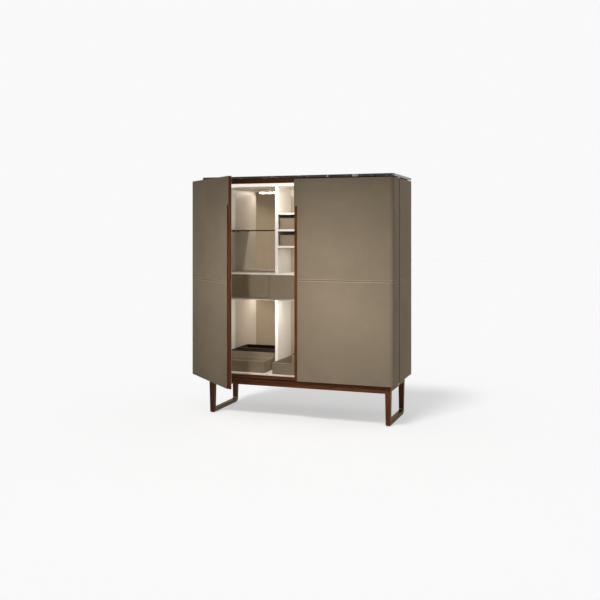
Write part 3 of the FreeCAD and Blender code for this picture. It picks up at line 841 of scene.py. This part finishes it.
def lining_stitches(node):
    """A row of stitches round the inner face of a door."""
    size = sizes()
    low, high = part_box(node)
    face = low.y + size.lining
    left, right = low.x + size.lining_inset, high.x - size.lining - size.lining_inset
    base, top = low.z + size.lining_inset, high.z - size.lining_inset
    outline = ((left, base), (right, base), (right, top), (left, top))
    return stitch_ring([Vector((x, face, z)) for x, z in outline], node, "seam_thread")


class CABINET_OT_dress_doors(Operator):
    """Dress the doors in leather, inside and out, with their stitching"""

    bl_idname = "cabinet.dress_doors"
    bl_label = "Doors"

    def execute(self, context):
        size = sizes()
        for side in ("left", "right"):
            dress(side + "_door_core", "walnut_upright", size.board_edge)
            dress(side + "_door_leather", "taupe_hide", size.hide_edge)
            dress(side + "_door_lining", "lining_hide", size.hide_edge)
            repaint(side + "_door_hardware", "brushed_brass")
        low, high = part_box("right_door_leather")
        seam = (low.z + high.z) / 2
        outer = stitch_seam(
            Vector((low.x + size.pull_width + size.stitch_pitch / 2, low.y, seam)),
            Vector((high.x, low.y, seam)),
            Vector((high.x, high.y - size.stitch_pitch / 2, seam)),
            "right_door_stitches",
        )
        # The left door stands open at rest, so its twin of the stitching turns with it
        hinge = joints["left_door_hinge"]
        pivot = Matrix.Translation(hinge["pos_m"])
        turn = Matrix.Rotation(math.radians(hinge["range_deg"][0]), 4, "Z")
        for right in (outer, lining_stitches("right_door_lining")):
            left = put_in_scene(right.name.replace("right", "left"), right.data.copy())
            mirror_across(left)
            left.data.transform(pivot @ turn @ pivot.inverted())
            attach(left, "left_door")
            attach(right, "right_door")
        return {"FINISHED"}


class CABINET_OT_dress_interior(Operator):
    """Dress the pale boards, dividers and shelves inside"""

    bl_idname = "cabinet.dress_interior"
    bl_label = "Interior"

    def execute(self, context):
        for node in (
            "floor_panel",
            "ceiling_panel",
            "upper_dividers",
            "lower_dividers",
            "cubby_shelves",
            "worktop",
            "band_floor",
            "band_dividers",
        ):
            dress(node, "cream_paint", sizes().board_edge)
        return {"FINISHED"}


class CABINET_OT_dress_glass(Operator):
    """Dress the mirrors, the glass shelves and their pegs"""

    bl_idname = "cabinet.dress_glass"
    bl_label = "Mirrors and glass"

    def execute(self, context):
        size = sizes()
        dress("mirrors", "bronze_mirror", size.glass_edge)
        dress("glass_shelves", "smoked_pane", size.glass_edge)
        dress("shelf_pins", "brushed_brass", size.glass_edge)
        return {"FINISHED"}


class CABINET_OT_dress_band(Operator):
    """Dress the fold-out shelf, the drawers and their fronts"""

    bl_idname = "cabinet.dress_band"
    bl_label = "Band"

    def execute(self, context):
        size = sizes()
        for node in (
            "band_stile",
            "centre_drawer_front",
            "right_drawer_front",
            "fold_shelf_leather",
        ):
            dress(node, "taupe_hide", size.hide_edge)
        panel = dress("fold_shelf_panel", "taupe_hide", size.board_edge)
        paint(panel, "taupe_hide", "walnut_across")
        for face in panel.data.polygons:
            face.material_index = int(face.normal.y > FACING)
        for node in ("centre_drawer_box", "right_drawer_box"):
            dress(node, "cream_paint", size.board_edge)
        for node in ("drawer_runners", "fold_shelf_pins"):
            repaint(node, "brushed_steel")
        repaint("fold_shelf_knuckles", "brushed_brass")
        return {"FINISHED"}


def line_with_suede(piece, node):
    """Put suede on the inside faces of a box or tray."""
    paint(piece, "taupe_hide", "tray_suede")
    low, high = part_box(node)
    inset = sizes().tray_wall * WALL_SHARE
    for face in piece.data.polygons:
        x, y, z = face.center
        within = low.x + inset < x < high.x - inset and low.y + inset < y < high.y - inset
        face.material_index = int(within and z > low.z + inset)


def rim_stitches(node):
    """A row of stitches below the rim, on the four outer faces of a box or tray."""
    size = sizes()
    low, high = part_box(node)
    level = high.z - size.rim_drop
    outline = ((low.x, low.y), (high.x, low.y), (high.x, high.y), (low.x, high.y))
    corners = [Vector((x, y, level)) for x, y in outline]
    return stitch_ring(corners, node, "tray_thread", gap=size.stitch_pitch / 2)


class CABINET_OT_dress_trays(Operator):
    """Dress the leather boxes and trays"""

    bl_idname = "cabinet.dress_trays"
    bl_label = "Boxes and trays"

    def execute(self, context):
        for node in SUEDE_LINED + LEATHER_LINED:
            piece = dress(node, "taupe_hide", sizes().tray_edge)
            if node in SUEDE_LINED:
                line_with_suede(piece, node)
            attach(rim_stitches(node), body_of_node[node])
        return {"FINISHED"}


class CABINET_OT_dress_lights(Operator):
    """Dress the light strips"""

    bl_idname = "cabinet.dress_lights"
    bl_label = "Light strips"

    def execute(self, context):
        edge = sizes().board_edge
        dress("led_profiles", "brushed_steel", edge)
        covers = dress("led_diffusers", "opal_cover", edge)
        # The front of the lower cover is a plain lip that doesn't glow
        paint(covers, "opal_cover", "cream_paint")
        low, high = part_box("led_diffusers")
        for face in covers.data.polygons:
            if face.center.z < (low.z + high.z) / 2 and face.normal.y < -FACING:
                face.material_index = 1
        return {"FINISHED"}


# Stage


def area_lamp(name, spot, target, width, power, spread=180.0):
    """A soft lamp that faces a target and spreads its light by an angle."""
    lamp = bpy.data.lights.new(name, "AREA")
    lamp.size, lamp.energy, lamp.spread = width, power, math.radians(spread)
    made = put_in_scene(name, lamp)
    made.location = spot
    made.rotation_euler = (Vector(target) - Vector(spot)).to_track_quat("-Z", "Y").to_euler()
    made.visible_camera = False
    return made


def distant_lamp(name, turn, rise, width, power):
    """A lamp far in front of the cabinet, turned to the right and raised by these angles."""
    lamp = bpy.data.lights.new(name, "SUN")
    lamp.energy, lamp.angle = power, math.radians(width)
    made = put_in_scene(name, lamp)
    made.rotation_euler = (math.radians(90.0 - rise), 0.0, math.radians(turn))
    return made


def linked(name, state, pieces):
    """A group of pieces that a lamp leaves out, or that it is for alone."""
    group = bpy.data.collections.new(name)
    for piece in pieces:
        group.objects.link(piece)
    for item in group.collection_objects:
        item.light_linking.link_state = state
    return group


def link_lamp(lamp, state, piece):
    """Keep a lamp's light off a piece, or for that piece alone."""
    group = linked(lamp.name + "_receivers", state, [piece])
    lamp.light_linking.receiver_collection = group


def light_cabinet(stage, floor):
    """Studio lamps on the doors, the side and the back, without their reflections."""
    for name, (spot, target, width, spread) in STUDIO_LAMPS.items():
        lamp = area_lamp(name, spot, target, width, getattr(stage, name + "_power"), spread)
        lamp.visible_glossy = False
        link_lamp(lamp, "EXCLUDE", floor)


def light_floor(stage, floor):
    """Distant lamps on the floor, the first of which passes the open left door."""
    for name, (turn, rise, width) in FLOOR_LAMPS.items():
        lamp = distant_lamp(name, turn, rise, width, getattr(stage, name))
        link_lamp(lamp, "INCLUDE", floor)
    door = [o for o in bpy.context.scene.objects if o.name.startswith("dressed_left_door")]
    passed = linked("left_door_shadows", "EXCLUDE", door)
    bpy.data.objects["floor_light"].light_linking.blocker_collection = passed


def light_interior(stage, floor):
    """Lamps on the left door's lining, along the strips of the bays and in the open cubby."""
    glow = area_lamp("lining_glow", *LINING_LAMP, stage.lining_power)
    glow.visible_glossy = glow.data.use_shadow = False
    link_lamp(glow, "INCLUDE", bpy.data.objects["dressed_left_door_lining"])
    low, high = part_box("led_diffusers")
    depth = (low.y + high.y) / 2
    for name, height in (("upper_bay", high.z - UPPER_DROP), ("lower_bay", low.z - LOWER_DROP)):
        spot, target = (0.0, depth, height), (0.0, 0.0, height - STRIP_AIM)
        strip = area_lamp(name, spot, target, STRIP_LENGTH, getattr(stage, name + "_power"))
        strip.data.shape, strip.data.size_y = "RECTANGLE", STRIP_WIDTH
        link_lamp(strip, "EXCLUDE", floor)
    low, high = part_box("cubby_shelves")
    middle = (low + high) / 2
    spot = Vector((middle.x, middle.y, low.z - CUBBY_DROP))
    target = spot - Vector((0.0, 0.0, CUBBY_AIM))
    area_lamp("cubby", spot, target, CUBBY_WIDTH, stage.cubby_power)


def seen_directly(tree):
    """1 for rays that come from the camera, a reflection or through glass."""
    path = tree.nodes.new("ShaderNodeLightPath")
    seen = path.outputs["Is Camera Ray"]
    for kind in ("Is Glossy Ray", "Is Transmission Ray"):
        values = {0: seen, 1: path.outputs[kind]}
        seen = add_node(tree, "ShaderNodeMath", values, operation="MAXIMUM").outputs[0]
    return seen


def seen_strength(tree, unseen, seen):
    """One strength for rays that see the surface directly and another for the rest."""
    values = {"Value": seen_directly(tree), "To Min": unseen, "To Max": seen}
    return add_node(tree, "ShaderNodeMapRange", values).outputs["Result"]


def set_world(stage):
    """White background that lights the object more softly than it looks."""
    world = bpy.data.worlds.new("studio")
    bpy.context.scene.world = world
    world.use_nodes = True
    tree = world.node_tree
    back = tree.nodes["Background"]
    back.inputs["Color"].default_value = (*WHITE, 1.0)
    tree.links.new(seen_strength(tree, stage.sky, stage.backdrop), back.inputs["Strength"])


def set_floor(stage):
    """Pale floor that keeps the shadow."""
    bpy.ops.object.select_all(action="DESELECT")
    bpy.ops.mesh.primitive_plane_add(size=stage.floor_size)
    floor = bpy.context.object
    floor.name = "studio_floor"
    tree, shader = new_finish(
        "studio_floor", Specular_IOR_Level=0.0, Roughness=0.9, Emission_Color=(*WHITE, 1.0)
    )
    speckle = noise(tree, place(tree), scale=40.0, detail=2.0)
    pale = two_tones(tree, speckle, WHITE, dark=0.69, light=0.71)
    tree.links.new(pale, shader.inputs["Base Color"])
    glow = seen_strength(tree, 0.0, stage.floor_glow)
    tree.links.new(glow, shader.inputs["Emission Strength"])
    paint(floor, "studio_floor")
    return floor


def set_camera(stage):
    """Level camera at the viewing angle, with its view shifted down."""
    camera = bpy.data.cameras.new("photo_view")
    camera.lens, camera.sensor_width = stage.camera_lens, SENSOR_WIDTH
    camera.shift_y = stage.camera_drop
    made = put_in_scene("photo_view", camera)
    made.location = stage.camera_place
    made.rotation_euler = (QUARTER_TURN, 0.0, stage.camera_turn)
    bpy.context.scene.camera = made


class CABINET_OT_set_stage(Operator):
    """Set the floor, the lamps and the camera"""

    bl_idname = "cabinet.set_stage"
    bl_label = "Stage"

    def execute(self, context):
        stage = context.scene.cabinet_stage
        set_world(stage)
        floor = set_floor(stage)
        light_cabinet(stage, floor)
        light_floor(stage, floor)
        light_interior(stage, floor)
        set_camera(stage)
        context.scene.view_settings.view_transform = "Standard"
        return {"FINISHED"}


STEPS = (
    CABINET_OT_mix_finishes,
    CABINET_OT_dress_base,
    CABINET_OT_dress_case,
    CABINET_OT_dress_top,
    CABINET_OT_dress_sides,
    CABINET_OT_dress_doors,
    CABINET_OT_dress_interior,
    CABINET_OT_dress_glass,
    CABINET_OT_dress_band,
    CABINET_OT_dress_trays,
    CABINET_OT_dress_lights,
    CABINET_OT_set_stage,
)


class CABINET_PT_finishes(Panel):
    """Steps that dress the cabinet"""

    bl_idname = "CABINET_PT_finishes"
    bl_label = "Bar cabinet"
    bl_space_type = "VIEW_3D"
    bl_region_type = "UI"
    bl_category = "Cabinet"

    def draw(self, context):
        for step in STEPS:
            self.layout.operator(step.bl_idname)


GROUPS = {
    "cabinet_sizes": CabinetSizes,
    "cabinet_colours": CabinetColours,
    "cabinet_stage": CabinetStage,
}


def register():
    """Add the settings, the steps and the panel."""
    for name, group in GROUPS.items():
        bpy.utils.register_class(group)
        setattr(bpy.types.Scene, name, PointerProperty(type=group))
    for item in (*STEPS, CABINET_PT_finishes):
        bpy.utils.register_class(item)


def unregister():
    """Remove the panel, the steps and the settings."""
    for item in (CABINET_PT_finishes, *reversed(STEPS)):
        bpy.utils.unregister_class(item)
    for name, group in GROUPS.items():
        delattr(bpy.types.Scene, name)
        bpy.utils.unregister_class(group)


def main():
    """Dress the cabinet."""
    register()
    bpy.ops.cabinet.mix_finishes()
    bpy.ops.cabinet.dress_base()
    bpy.ops.cabinet.dress_case()
    bpy.ops.cabinet.dress_top()
    bpy.ops.cabinet.dress_sides()
    bpy.ops.cabinet.dress_doors()
    bpy.ops.cabinet.dress_interior()
    bpy.ops.cabinet.dress_glass()
    bpy.ops.cabinet.dress_band()
    bpy.ops.cabinet.dress_trays()
    bpy.ops.cabinet.dress_lights()
    bpy.ops.cabinet.set_stage()


if __name__ == "__main__":
    main()
